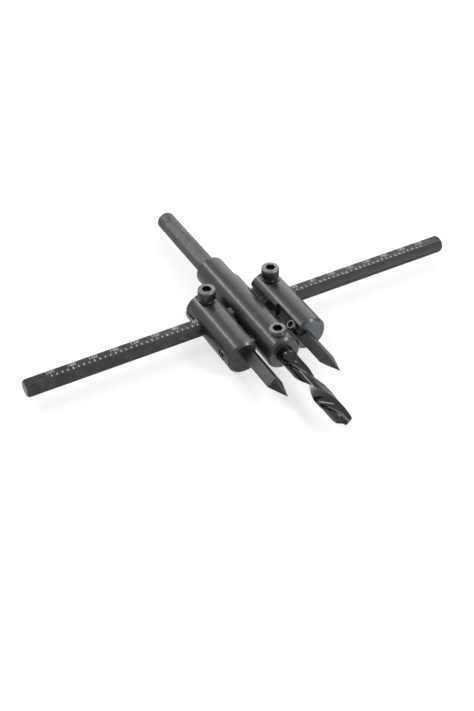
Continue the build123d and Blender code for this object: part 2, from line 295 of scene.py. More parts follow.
class GeometryRule(Group):
    """A geometry tree that makes or shapes a mesh and gives it its material."""

    def __init__(self, name: str, inputs: dict[str, object]) -> None:
        """Makes the tree, with a Geometry and a Material input round the ones that are given."""
        every = {"Geometry": GEOMETRY} | inputs | {"Material": "NodeSocketMaterial"}
        super().__init__(name, every, {"Geometry": GEOMETRY}, "GeometryNodeTree")

    def move(self, geometry: NodeSocket, place: NodeSocket) -> NodeSocket:
        """Puts each point of a geometry in a new place."""
        return self.add("GeometryNodeSetPosition", {"Geometry": geometry, "Position": place}).outputs[0]

    def captured(self, curve: Node, kind: str, value: NodeSocket) -> object:
        """Keeps a value of each point of a curve.

        Args:
            curve: The node that makes the curve.
            kind: The value's type.
            value: The value.

        Returns:
            The outputs: Geometry is the curve, and Kept is the value.
        """
        node = self.add("GeometryNodeCaptureAttribute", {"Geometry": curve.outputs[0]}, domain="POINT")
        node.capture_items.new(kind, "Kept")
        self.feed(node, {"Kept": value})
        return node.outputs

    def end(self, geometry: NodeSocket) -> None:
        """Ends the tree in Realize Instances and Set Material.

        Args:
            geometry: What has been made.
        """
        real = self.add("GeometryNodeRealizeInstances", {"Geometry": geometry}).outputs[0]
        dressed = self.add("GeometryNodeSetMaterial", {"Geometry": real, "Material": self.given["Material"]})
        self.feed(self.target, {"Geometry": dressed.outputs[0]})

    def run(self, thing: Object, name: str, values: dict[str, object]) -> Object:
        """Runs the tree on an object and gives the result as a plain mesh object.

        Args:
            thing: The object that the tree starts from, which is removed.
            name: The new object's name.
            values: Input name to value.

        Returns:
            The new object.
        """
        modifier = thing.modifiers.new("rule", "NODES")
        modifier.node_group = self.tree
        for item in self.tree.interface.items_tree:
            if item.in_out == "INPUT" and item.name in values:
                modifier[item.identifier] = values[item.name]
        mesh = made_mesh(thing)
        mesh.name = name
        return linked(name, mesh)


def rolled_thread() -> GeometryRule:
    """Makes the rule that rolls a right-hand thread into a screw blank that stands along Z.

    Returns:
        The rule.
    """
    crest, root, whole_turns, never_zero = 0.16, 0.92, 40.0, 1e-7
    g = GeometryRule("Rolled thread", dict.fromkeys(("Pitch", "Depth", "Radius", "Thread Top"), 0.0))
    x, y, z = g.parts(g.add("GeometryNodeInputPosition").outputs[0])
    radius = g.distance(x, y)
    turns = g.minus(g.over(z, g.given["Pitch"]), g.over(g.math("ARCTAN2", y, x), math.tau))
    phase = g.math("FRACT", g.plus(turns, whole_turns))
    wedge = g.math("ABSOLUTE", g.minus(g.times(phase, 2.0), 1.0))
    wall = g.minus(g.given["Radius"], g.times(g.ramp(wedge, crest, root), g.given["Depth"]))
    share = g.over(g.math("MINIMUM", radius, wall), g.math("MAXIMUM", radius, never_zero))
    below = g.math("LESS_THAN", z, g.given["Thread Top"])
    scale = g.plus(g.times(share, below), g.minus(1.0, below))
    g.end(g.move(g.given["Geometry"], g.vector(g.times(x, scale), g.times(y, scale), z)))
    return g


def fluted_sweep() -> GeometryRule:
    """Makes the rule that sweeps a drill section, a ring of edges, along Y with its twist and point.

    The sweep's rings are shared out along its length: the first few make the round shank, most make the
    flutes with their conical run-out, and the last ones draw in to the point.

    Returns:
        The rule.
    """
    shank_end, point_start = 0.03, 0.94
    round_until, fluted_from = 0.028, 0.034
    chamfer_end, chamfer_radius = 0.006, 0.875
    weld = 2e-6
    g = GeometryRule("Fluted drill", dict.fromkeys((
        "Rear", "Flute Start", "Tip", "Runout", "Web", "Shank Radius", "Lead", "Point Slope", "Point Turn",
    ), 0.0) | {"Rings": 2})
    rear, start, tip, runout, web, shank, lead, slope, point_turn, rings = list(g.given)[1:11]
    line = g.add("GeometryNodeCurvePrimitiveLine", {"Start": (0.0, 0.0, 0.0), "End": (0.0, 1.0, 0.0)})
    path = g.add("GeometryNodeResampleCurve", {"Curve": line.outputs[0], "Count": rings})
    ring = g.add("GeometryNodeMeshToCurve", {"Mesh": g.given["Geometry"]})
    flat = g.captured(ring, "VECTOR", g.add("GeometryNodeInputPosition").outputs[0])
    along = g.captured(path, "FLOAT", g.add("GeometryNodeSplineParameter").outputs["Factor"])
    curves = {"Curve": along["Geometry"], "Profile Curve": flat["Geometry"], "Fill Caps": True}
    sweep = g.add("GeometryNodeCurveToMesh", curves).outputs[0]
    share = along["Kept"]
    x, z, _ = g.parts(flat["Kept"])
    radius = g.distance(x, z)
    drop = g.times(radius, slope)
    on_shank = g.ramp(share, 0.0, shank_end)
    on_flutes = g.ramp(share, shank_end, point_start)
    on_point = g.ramp(share, point_start, 1.0)
    flute_run = g.times(on_flutes, g.minus(g.plus(tip, drop), start))
    body_y = g.plus(rear, g.plus(g.times(on_shank, g.minus(start, rear)), flute_run))
    climb = g.over(g.minus(body_y, g.minus(start, runout)), runout)
    climb = g.math("MINIMUM", g.math("MAXIMUM", climb, 0.0), 1.0)
    cone = g.plus(web, g.times(climb, g.minus(shank, web)))
    fluted = g.ramp(share, round_until, fluted_from)
    settled = g.plus(g.times(g.math("MAXIMUM", radius, cone), fluted), g.times(shank, g.minus(1.0, fluted)))
    chamfer = g.ramp(share, 0.0, chamfer_end, chamfer_radius, 1.0)
    reach = g.times(g.times(settled, chamfer), g.minus(1.0, on_point))
    twist = g.times(g.over(g.minus(body_y, tip), lead), math.tau)
    turned = g.plus(g.minus(g.math("ARCTAN2", z, x), twist), point_turn)
    across, up = g.times(reach, g.math("COSINE", turned)), g.times(reach, g.math("SINE", turned))
    shaped = g.move(sweep, g.vector(across, g.minus(body_y, g.times(drop, on_point)), up))
    g.end(g.add("GeometryNodeMergeByDistance", {"Geometry": shaped, "Distance": weld}).outputs[0])
    return g


def mark_row() -> GeometryRule:
    """Makes the rule that sets one bar of paint at each step from a first place.

    Returns:
        The rule.
    """
    g = GeometryRule("Scale marks", dict.fromkeys(("First", "Step", "Size"), Vector()) | {"Count": 1})
    places = {"Count": g.given["Count"], "Start Location": g.given["First"], "Offset": g.given["Step"]}
    row = g.add("GeometryNodeMeshLine", places).outputs[0]
    bar = g.add("GeometryNodeMeshCube", {"Size": g.given["Size"]}).outputs[0]
    g.end(g.add("GeometryNodeInstanceOnPoints", {"Points": row, "Instance": bar}).outputs[0])
    return g


def rgba(colour: Colour) -> tuple[float, float, float, float]:
    """Adds full alpha to a colour."""
    return (*colour, 1.0)


def new_material(name: str) -> tuple[Material, Graph, Node]:
    """Makes a material with nodes.

    Args:
        name: The material's name.

    Returns:
        The material, the graph of its tree and its Principled BSDF.
    """
    material = bpy.data.materials.new(name)
    material.use_nodes = True
    return material, Graph(material.node_tree), material.node_tree.nodes["Principled BSDF"]


def edge_wear() -> Group:
    """Makes the mask of edges rubbed bright.

    Returns:
        The group, with Mask as its output.
    """
    flat, worn = 0.985, 0.80
    patches = (0.35, 0.62, 0.5, 1.0)
    g = Group("Edge wear", {"Radius": 0.0003, "Amount": 0.5, "Patch Scale": 700.0}, {"Mask": 0.0})
    bevel = g.add("ShaderNodeBevel", {"Radius": g.given["Radius"]}, samples=EDGE_SAMPLES).outputs[0]
    normal = g.add("ShaderNodeNewGeometry").outputs["Normal"]
    edge = g.ramp(g.vector_math("DOT_PRODUCT", {0: bevel, 1: normal}), flat, worn)
    broken = g.ramp(g.noise(g.place(), g.given["Patch Scale"], 3.0), *patches)
    g.feed(g.target, {"Mask": g.math("MULTIPLY", g.times(edge, broken), g.given["Amount"], clamp=True)})
    return g


def oxide_mottle() -> Group:
    """Makes the uneven tone and gloss of the oxide film.

    Returns:
        The group, with Colour, Roughness and Height as outputs.
    """
    fine_ratio, broad_weight, fine_weight, gloss_weight = 14.0, 2.2, 0.9, -0.28
    inputs = {"Colour": (0.05, 0.05, 0.05, 1.0), "Roughness": 0.38, "Amount": 0.35, "Scale": 260.0}
    g = Group("Oxide mottle", inputs, {"Colour": WHITE, "Roughness": 0.0, "Height": 0.0})
    place = g.place()
    broad = g.noise(place, g.given["Scale"], 5.0, 0.6)
    fine = g.noise(place, g.times(g.given["Scale"], fine_ratio), 2.0)
    swing = g.plus(g.times(g.minus(broad, 0.5), broad_weight), g.times(g.minus(fine, 0.5), fine_weight))
    swing = g.times(swing, g.given["Amount"])
    tone = g.vector_math("SCALE", {0: g.given["Colour"], "Scale": g.plus(1.0, swing)})
    gloss = g.math("MULTIPLY_ADD", swing, gloss_weight, g.given["Roughness"], clamp=True)
    g.feed(g.target, {"Colour": tone, "Roughness": gloss, "Height": fine})
    return g


def turning_rings() -> Group:
    """Makes the fine rings that a lathe leaves about an axis along Y, on round walls and end faces.

    Returns:
        The group, with Height as its output.
    """
    g = Group("Turning rings", {"Axis X": 0.0, "Axis Z": 0.0, "Density": 5200.0}, {"Height": 0.0})
    x, y, z = g.parts(g.place())
    radius = g.distance(g.minus(x, g.given["Axis X"]), g.minus(z, g.given["Axis Z"]))
    travel = g.times(g.plus(radius, y), g.given["Density"])
    noise = g.add("ShaderNodeTexNoise", {"W": travel, "Scale": 1.0, "Detail": 2.0}, noise_dimensions="1D")
    g.feed(g.target, {"Height": noise.outputs["Fac"]})
    return g


def drawn_lines() -> Group:
    """Makes the lengthwise lines of drawn or ground bar stock along X.

    Returns:
        The group, with Height as its output.
    """
    g = Group("Drawn lines", {"Density": 5200.0, "Stretch": 0.02}, {"Height": 0.0})
    drawn = g.vector_math("MULTIPLY", {0: g.place(), 1: g.vector(g.given["Stretch"], 1.0, 1.0)})
    g.feed(g.target, {"Height": g.noise(drawn, g.given["Density"], 2.0)})
    return g


class ShaderKit:
    """The shader groups that several finishes share, and the finishes made from them."""

    EDGE_BREAK = 0.00018
    GRAIN_HEIGHT = 1.2e-6
    WORN_GLOSS = -0.12
    PAINT_COLOUR = (0.62, 0.63, 0.63)
    PAINT_WORN = (0.22, 0.23, 0.24)
    PAINT_GRAIN = 1500.0
    PAINT_WEAR_RANGE = (0.46, 0.66)
    PAINT_GLOSS_RANGE = (0.3, 0.7, 0.5, 0.7)

    def __init__(self) -> None:
        """Builds each group once."""
        self.wear, self.mottle = edge_wear(), oxide_mottle()
        self.rings, self.lines = turning_rings(), drawn_lines()
        self.made: dict[str, Material] = {}

    def steel(self, finish: Finish) -> Material:
        """Makes a steel finish.

        Args:
            finish: What the finish is like.

        Returns:
            The material, made once for each name.
        """
        if finish.name in self.made:
            return self.made[finish.name]
        material, g, shader = new_material(finish.name)
        cut_kind, cut_inputs = self.lines, {"Density": finish.line_density}
        if finish.turned:
            cut_kind = self.rings
            cut_inputs |= {"Axis X": finish.line_centre[0], "Axis Z": finish.line_centre[1]}
        film = {"Colour": rgba(finish.colour), "Roughness": finish.roughness, "Amount": finish.mottle,
                "Scale": finish.mottle_scale}
        mottle = g.add("ShaderNodeGroup", film, node_tree=self.mottle.tree).outputs
        wear = g.add("ShaderNodeGroup", {"Amount": finish.wear}, node_tree=self.wear.tree).outputs["Mask"]
        cut = g.add("ShaderNodeGroup", cut_inputs, node_tree=cut_kind.tree).outputs["Height"]
        height = g.plus(g.times(cut, finish.line_depth), g.times(mottle["Height"], self.GRAIN_HEIGHT))
        soft_edge = g.add("ShaderNodeBevel", {"Radius": self.EDGE_BREAK}, samples=EDGE_SAMPLES)
        relief = {"Height": height, "Strength": 1.0, "Distance": 1.0, "Normal": soft_edge.outputs[0]}
        g.feed(shader, {
            "Base Color": g.mix_colour(wear, mottle["Colour"], rgba(finish.bright)),
            "Roughness": g.math("MULTIPLY_ADD", wear, self.WORN_GLOSS, mottle["Roughness"], clamp=True),
            "Normal": g.add("ShaderNodeBump", relief).outputs[0],
            "Metallic": finish.metallic,
            "Specular Tint": rgba((finish.edge_tint,) * 3),
            "Coat Weight": finish.coat,
            "Coat Roughness": finish.coat_roughness,
        })
        self.made[finish.name] = material
        return material

    def paint(self) -> Material:
        """Makes the paint of the scale, thin and a little worn.

        Returns:
            The material, made once.
        """
        name = "scale paint"
        if name not in self.made:
            self.made[name], g, shader = new_material(name)
            rubbed = g.noise(g.place(), self.PAINT_GRAIN, 3.0)
            worn = g.ramp(rubbed, *self.PAINT_WEAR_RANGE)
            g.feed(shader, {
                "Base Color": g.mix_colour(worn, rgba(self.PAINT_COLOUR), rgba(self.PAINT_WORN)),
                "Roughness": g.ramp(rubbed, *self.PAINT_GLOSS_RANGE),
            })
        return self.made[name]


def linked(name: str, data: bpy.types.ID) -> Object:
    """Makes an object of a mesh, curve, light or camera and links it to the scene.

    Args:
        name: The object's name.
        data: What it shows.

    Returns:
        The new object.
    """
    made = bpy.data.objects.new(name, data)
    bpy.context.scene.collection.objects.link(made)
    return made


def made_mesh(thing: Object) -> Mesh:
    """Gives what an object's modifiers or its text make as a plain mesh, and removes the object.

    Args:
        thing: The object.

    Returns:
        The new mesh.
    """
    graph = bpy.context.evaluated_depsgraph_get()
    mesh = bpy.data.meshes.new_from_object(thing.evaluated_get(graph), preserve_all_data_layers=True,
                                           depsgraph=graph)
    thing.modifiers.clear()
    bpy.data.objects.remove(thing)
    return mesh


def mesh_object(name: str, points: Sequence[Point], faces: Sequence[Sequence[int]] = (),
                edges: Sequence[Sequence[int]] = ()) -> Object:
    """Makes a mesh object and links it to the scene.

    Args:
        name: The object's name.
        points: Vertex places.
        faces: Vertex numbers of each face.
        edges: Vertex numbers of each loose edge.

    Returns:
        The new object.
    """
    mesh = bpy.data.meshes.new(name)
    mesh.from_pydata(points, edges, faces)
    return linked(name, mesh)


@contextmanager
def edited(mesh: Mesh) -> Iterator[bmesh.types.BMesh]:
    """Opens a mesh for editing and writes it back at the end.

    Args:
        mesh: The mesh.

    Yields:
        Its editable form.
    """
    work = bmesh.new()
    work.from_mesh(mesh)
    yield work
    work.to_mesh(mesh)
    work.free()


def smooth_by_angle(mesh: Mesh, degrees: float) -> None:
    """Shades a mesh smooth, with an edge kept sharp wherever it turns further than an angle.

    Args:
        mesh: The mesh.
        degrees: The angle.
    """
    limit = math.radians(degrees)
    with edited(mesh) as work:
        for face in work.faces:
            face.smooth = True
        for edge in work.edges:
            edge.smooth = len(edge.link_faces) == 2 and edge.calc_face_angle(0.0) < limit


@dataclass(frozen=True)
class RoundWall:
    """A round wall of a solid, for shading that follows the true cylinder.

    Attributes:
        x: X of a point of its axis at the bar's height.
        y: Y of that point.
        axis: The axis's direction, of length 1.
        radius: Its radius.
    """

    x: float
    y: float
    axis: Vector
    radius: float


def mesh_values(items: bpy.types.bpy_prop_collection, name: str, kind: type, width: int = 1) -> np.ndarray:
    """Reads one property of all of a mesh's points, corners or faces.

    Args:
        items: The points, corners or faces.
        name: The property's name.
        kind: The type of its numbers.
        width: How many numbers each item has.

    Returns:
        The values, in rows where an item has several.
    """
    values = np.zeros(len(items) * width, kind)
    items.foreach_get(name, values)
    return values if width == 1 else values.reshape(-1, width)


def true_normals(mesh: Mesh, walls: Iterable[RoundWall]) -> None:
    """Gives the facets of round walls the normals of the true cylinders.

    Args:
        mesh: A triangle mesh, already shaded smooth by angle.
        walls: The round walls.
    """
    near_wall, faces_wall, never_zero = 6e-6, 0.94, 1e-9
    normals = mesh_values(mesh.corner_normals, "vector", np.float32, 3)
    corner = mesh_values(mesh.loops, "vertex_index", np.int32)
    places = mesh_values(mesh.vertices, "co", np.float64, 3)
    face_normals = mesh_values(mesh.polygons, "normal", np.float64, 3)
    face_count = len(mesh.polygons)
    face_of = np.repeat(np.arange(face_count), mesh_values(mesh.polygons, "loop_total", np.int32))
    for wall in walls:
        axis = np.array(wall.axis)
        arm = places - np.array(row_point(wall.x, wall.y, 0))
        arm -= np.outer(arm @ axis, axis)
        reach = np.linalg.norm(arm, axis=1)
        outward = (arm / np.maximum(reach, never_zero)[:, None])[corner]
        wholly_on = np.ones(face_count, bool)
        np.logical_and.at(wholly_on, face_of, (np.abs(reach - wall.radius * MM) < near_wall)[corner])
        facing = np.einsum("ij,ij->i", outward, face_normals[face_of])
        keep = wholly_on[face_of] & (np.abs(facing) > faces_wall)
        normals[keep] = outward[keep] * np.sign(facing[keep])[:, None]
    mesh.normals_split_custom_set(normals.tolist())


class Frame:
    """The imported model, and the one way in which every finished piece is put on it."""

    SHARP_FROM = 24.0
    WELD = 1.5e-6
    SLIVER = 1e-7

    def __init__(self, loaded: dict) -> None:
        """Keeps the loaded model.

        Args:
            loaded: What the frame's loader returned.
        """
        record = loaded["record"]
        self.nodes: dict[str, Object] = loaded["nodes"]
        bodies = record["behaviour"]["bodies"]
        self.body_of = {node: body for body, nodes in bodies.items() for node in nodes}
        self.slot_of = {part["node"]: part["material_slot"] for part in record["subparts"]}

    def dress(self, node: str, name: str, material: Material, walls: Iterable[RoundWall] = ()) -> Object:
        """Stands a joined-up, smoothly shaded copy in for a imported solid.

        Args:
            node: The solid's node name.
            name: The new piece's name.
            material: Its main finish.
            walls: Its round walls.

        Returns:
            The new piece.
        """
        mesh = self.nodes[node].data.copy()
        mesh.name = name
        with edited(mesh) as work:
            bmesh.ops.remove_doubles(work, verts=work.verts, dist=self.WELD)
            bmesh.ops.dissolve_degenerate(work, edges=work.edges, dist=self.SLIVER)
            bmesh.ops.triangulate(work, faces=work.faces)
        mesh.materials.clear()
        mesh.materials.append(material)
        smooth_by_angle(mesh, self.SHARP_FROM)
        true_normals(mesh, walls)
        made = linked(name, mesh)
        self.place(made, node)
        return made

    def place(self, piece: Object, node: str, stands_for: bool = True) -> None:
        """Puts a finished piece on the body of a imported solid.

        Args:
            piece: The piece, already in the row frame.
            node: The solid that it goes with.
            stands_for: True where the piece stands for the solid.
        """
        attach(piece, self.body_of[node])
        if stands_for:
            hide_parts(node)
        LOG.info("%s: %d faces, on %s", piece.name, len(piece.data.polygons), self.body_of[node])


@dataclass(frozen=True)
class Workshop:
    """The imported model, the finishes and the geometry rules, which every sub-assembly is made with."""

    frame: Frame
    kit: ShaderKit
    thread: GeometryRule
    flutes: GeometryRule
    marks: GeometryRule


@dataclass(frozen=True)
class Assembly:
    """One sub-assembly of the tool, with its sizes in millimetres."""

    shop: Workshop


def give_zone(piece: Object, material: Material,
              holds: Callable[[Vector, Vector], bool]) -> None:
    """Gives some faces of a piece a finish of their own.

    Args:
        piece: The piece, which has its main finish already.
        material: The zone's finish.
        holds: Tells from a face's middle and normal whether the face is in the zone.
    """
    index = len(piece.data.materials)
    piece.data.materials.append(material)
    for face in piece.data.polygons:
        if holds(face.center, face.normal):
            face.material_index = index


class Ring(NamedTuple):
    """One ring of a turned blank, where hexagonal says that it is drawn out to a hexagon."""

    radius: float
    height: float
    hexagonal: bool = False


@dataclass(frozen=True)
class Socket:
    """A hexagon socket in the end of a screw, from the flat face round it to the cone at its floor."""

    across: float
    depth: float
    flat_share: float = 1.2
    mouth_widening: float = 0.12
    mouth_depth: float = 0.01
    flats_depth: float = 0.14
    floor_share: float = 0.72
    floor_drop: float = 0.25
    centre_drop: float = 0.3

    def rings(self, top: float) -> list[Ring]:
        """Gives the socket's rings from its mouth downwards.

        Args:
            top: Height of the face that it is sunk in.

        Returns:
            The rings.
        """
        half, floor = self.across / 2, top - self.depth
        return [
            Ring(half * self.flat_share, top),
            Ring(half + self.mouth_widening, top - self.mouth_depth, True),
            Ring(half, top - self.flats_depth, True),
            Ring(half, floor, True),
            Ring(half * self.floor_share, floor - self.floor_drop),
        ]


@dataclass(frozen=True)
class Screw:
    """A screw with a rolled thread and a hexagon socket, standing along Z with its thread's end at 0."""

    kind: Head
    diameter: float
    pitch: float
    length: float
    socket: Socket
    head_diameter: float = 0.0
    head_height: float = 0.0
    chamfer: float = 0.5
    head_edge: float = 0.15
    cap_chamfer: float = 0.6
    rounding_in: float = 0.45
    rounding_down: float = 0.25
    thread_depth_share: float = 0.56
    thread_gap: float = 0.001
    rim_share: float = 0.55
    rim_facing: float = 0.3
    sides: int = 60
    rings_per_turn: int = 8
    sharp_from: float = 38.0

    def outline(self) -> list[Ring]:
        """Gives the half section from the stem's end to the socket's floor.

        Returns:
            The rings.
        """
        neck, head, rounding = self.diameter / 2 - self.chamfer, self.head_diameter / 2, self.cap_chamfer
        stem, top = self.length, self.length + self.head_height
        headless = self.kind is Head.GRUB
        steps = math.ceil((stem - 2 * self.chamfer) / self.pitch * self.rings_per_turn)
        run = stem - (self.chamfer if headless else 0.0) - self.chamfer
        rings = [Ring(neck, 0.0)]
        rings += [Ring(self.diameter / 2, self.chamfer + run * step / steps) for step in range(steps + 1)]
        rings += [Ring(neck, stem)] if headless else [
            Ring(head - self.head_edge, stem),
            Ring(head, stem + self.head_edge),
            Ring(head, top - rounding),
            Ring(head - rounding * self.rounding_in, top - rounding * self.rounding_down),
            Ring(head - rounding, top),
        ]
        return rings + self.socket.rings(top)

    def blank(self, name: str) -> Object:
        """Makes the turned blank with its socket, before the thread.

        Args:
            name: The object's name.

        Returns:
            The blank, in metres, standing along Z from the origin.
        """
        rings, sides = self.outline(), self.sides
        sixth = math.pi / 3
        points: list[Point] = []
        for radius, height, hexagonal in rings:
            for index in range(sides):
                angle = math.tau * index / sides
                reach = radius / math.cos((angle + sixth / 2) % sixth - sixth / 2) if hexagonal else radius
                points.append((reach * math.cos(angle) * MM, reach * math.sin(angle) * MM, height * MM))
        first, last, base = len(points), len(points) + 1, (len(rings) - 1) * sides
        points += [(0.0, 0.0, rings[0][1] * MM), (0.0, 0.0, (rings[-1][1] - self.socket.centre_drop) * MM)]
        faces: list[tuple[int, ...]] = []
        for low in range(0, base, sides):
            for index in range(sides):
                after = (index + 1) % sides
                faces.append((low + index, low + after, low + sides + after, low + sides + index))
        for index in range(sides):
            after = (index + 1) % sides
            faces += [(first, after, index), (last, base + index, base + after)]
        return mesh_object(name, points, faces)

    def fit(self, shop: Workshop, node: str, name: str, tip: Vector, direction: Vector) -> None:
        """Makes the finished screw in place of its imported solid.

        Args:
            shop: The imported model, the finishes and the rules.
            node: The solid's node name.
            name: The piece's name.
            tip: Where the stem's end is, in the row frame.
            direction: From the stem's end towards the head.
        """
        capped = self.kind is Head.CAP
        made = shop.thread.run(self.blank(name + "_blank"), name, {
            "Pitch": self.pitch * MM, "Depth": self.thread_depth_share * self.pitch * MM,
            "Radius": self.diameter / 2 * MM, "Material": shop.kit.steel(SCREW_BLACK),
            "Thread Top": (self.length - (0.0 if capped else self.thread_gap)) * MM,
        })
        # The end ring round the socket is coloured lighter: partly wear, partly a painted highlight.
        rim_z = self.length + (self.head_height - self.cap_chamfer if capped else -self.chamfer)
        rim_radius = self.rim_share * self.socket.across
        give_zone(made, shop.kit.steel(SCREW_END_WEAR_AND_HIGHLIGHT), lambda middle, normal: (
            normal.z > self.rim_facing and middle.z > rim_z * MM and middle.xy.length > rim_radius * MM))
        turn = direction.to_track_quat("Z", "Y").to_matrix().to_4x4()
        made.data.transform(Matrix.Translation(tip) @ turn)
        smooth_by_angle(made.data, self.sharp_from)
        shop.frame.place(made, node)


SMALL_GRUB = Screw(Head.GRUB, 5.0, 0.8, 4.0, Socket(2.5, 2.0))


@dataclass(frozen=True)
class CrossBar(Assembly):
    """The hexagonal bar with its two painted scales."""

    across_flats: float = 7.2
    lowest_mark: int = 30
    lowest_numeral: int = 60
    highest: int = 200
    mark_step: int = 5
    numeral_step: int = 20
    reading_offset: float = 3.9
    mark_width: float = 0.4
    mark_length: float = 1.3
    mark_depth: float = 0.12
    mark_end_gap: float = 0.02
    mark_proud: float = 0.004
    numeral_height: float = 2.0
    numeral_y: float = 0.92
    numeral_lift: float = 0.006
    numeral_half_thickness: float = 0.012
    numeral_thinning: float = 0.01
    digit_share: float = 0.70

    def build(self) -> None:
        """Makes the bar, its marks and its numerals."""
        frame, kit = self.shop.frame, self.shop.kit
        bar = frame.dress("cross_bar", "bar_with_scale", kit.steel(BAR_OXIDE))
        give_zone(bar, kit.steel(BAR_FACED), lambda middle, normal: abs(normal.x) > END_FACE)
        for side in Side:
            frame.place(self.marks(side), "cross_bar", stands_for=False)
            frame.place(self.numerals(side), "cross_bar", stands_for=False)

    def mark_place(self, reading: float, side: Side) -> float:
        """Gives the X, in millimetres, of a diameter that one side's scale reads."""
        return side.value * (reading / 2 - self.reading_offset)

    def marks(self, side: Side) -> Object:
        """Fills the engraved marks of one scale with paint.

        Args:
            side: The arm's side.

        Returns:
            The paint as one piece.
        """
        facet = self.across_flats / math.sqrt(3)
        fill = self.mark_depth + self.mark_proud
        first = row_point(self.mark_place(self.lowest_mark, side), (self.mark_length - facet) / 2,
                          self.across_flats / 2 - self.mark_depth + fill / 2)
        return self.shop.marks.run(mesh_object("marks_seed", [(0, 0, 0)]), side.label + "_scale_marks", {
            "First": tuple(first), "Step": (side.value * self.mark_step / 2 * MM, 0.0, 0.0),
            "Count": (self.highest - self.lowest_mark) // self.mark_step + 1,
            "Size": (self.mark_width * MM, (self.mark_length - self.mark_end_gap) * MM, fill * MM),
            "Material": self.shop.kit.paint(),
        })

    def numerals(self, side: Side) -> Object:
        """Writes the numerals of one scale behind its marks.

        Args:
            side: The arm's side.

        Returns:
            The numerals as one piece.
        """
        made = mesh_object(side.label + "_scale_numerals", [])
        made.data.materials.append(self.shop.kit.paint())
        with edited(made.data) as work:
            for reading in range(self.lowest_numeral, self.highest + 1, self.numeral_step):
                curve = bpy.data.curves.new("numeral", "FONT")
                curve.body = str(reading)
                curve.align_x, curve.align_y = "CENTER", "CENTER"
                curve.size = self.numeral_height / self.digit_share * MM
                curve.extrude = self.numeral_half_thickness * MM
                curve.offset = -self.numeral_thinning * MM
                curve.resolution_u = 3
                mesh = made_mesh(linked("numeral", curve))
                spot = row_point(self.mark_place(reading, side), self.numeral_y,
                                 self.across_flats / 2 + self.numeral_lift)
                mesh.transform(Matrix.Translation(spot))
                work.from_mesh(mesh)
                bpy.data.meshes.remove(mesh)
            bmesh.ops.remove_doubles(work, verts=work.verts, dist=Frame.SLIVER)
            bmesh.ops.recalc_face_normals(work, faces=work.faces)
        return made


@dataclass(frozen=True)
class CentreBody(Assembly):
    """The turned body with its shank, and the screw that holds the bar."""

    collar_radius: float = 7.4
    shank_radius: float = 4.5
    shank_start: float = 35.7
    shank_margin: float = 0.01
    nose_y: float = -34.0
    bore_radius: float = 4.05
    screw_hole_radius: float = 4.05
    screw_hole_y: float = -27.5
    bar_screw: Screw = SMALL_GRUB
    bar_screw_z: float = -3.65

    def build(self) -> None:
        """Makes the body and its bar screw."""
        frame, kit = self.shop.frame, self.shop.kit
        radii = (BODY_RADIUS, self.collar_radius, self.shank_radius, self.bore_radius)
        walls = [RoundWall(0, 0, ALONG, radius) for radius in radii]
        walls.append(RoundWall(0, self.screw_hole_y, UP, self.screw_hole_radius))
        body = frame.dress("centre_body", "turned_body", kit.steel(BODY_OXIDE), walls)
        shank = row_point(0, self.shank_start + self.shank_margin, 0).y
        nose = row_point(0, self.nose_y + ZONE_MARGIN, 0).y
        give_zone(body, kit.steel(SHANK_GROUND), lambda middle, normal: middle.y > shank)
        give_zone(body, kit.steel(BODY_FACED),
                  lambda middle, normal: middle.y < nose and normal.y < -END_FACE)
        tip = row_point(0, 0, self.bar_screw_z)
        self.bar_screw.fit(self.shop, "bar_set_screw", "bar_screw_threaded", tip, -UP)


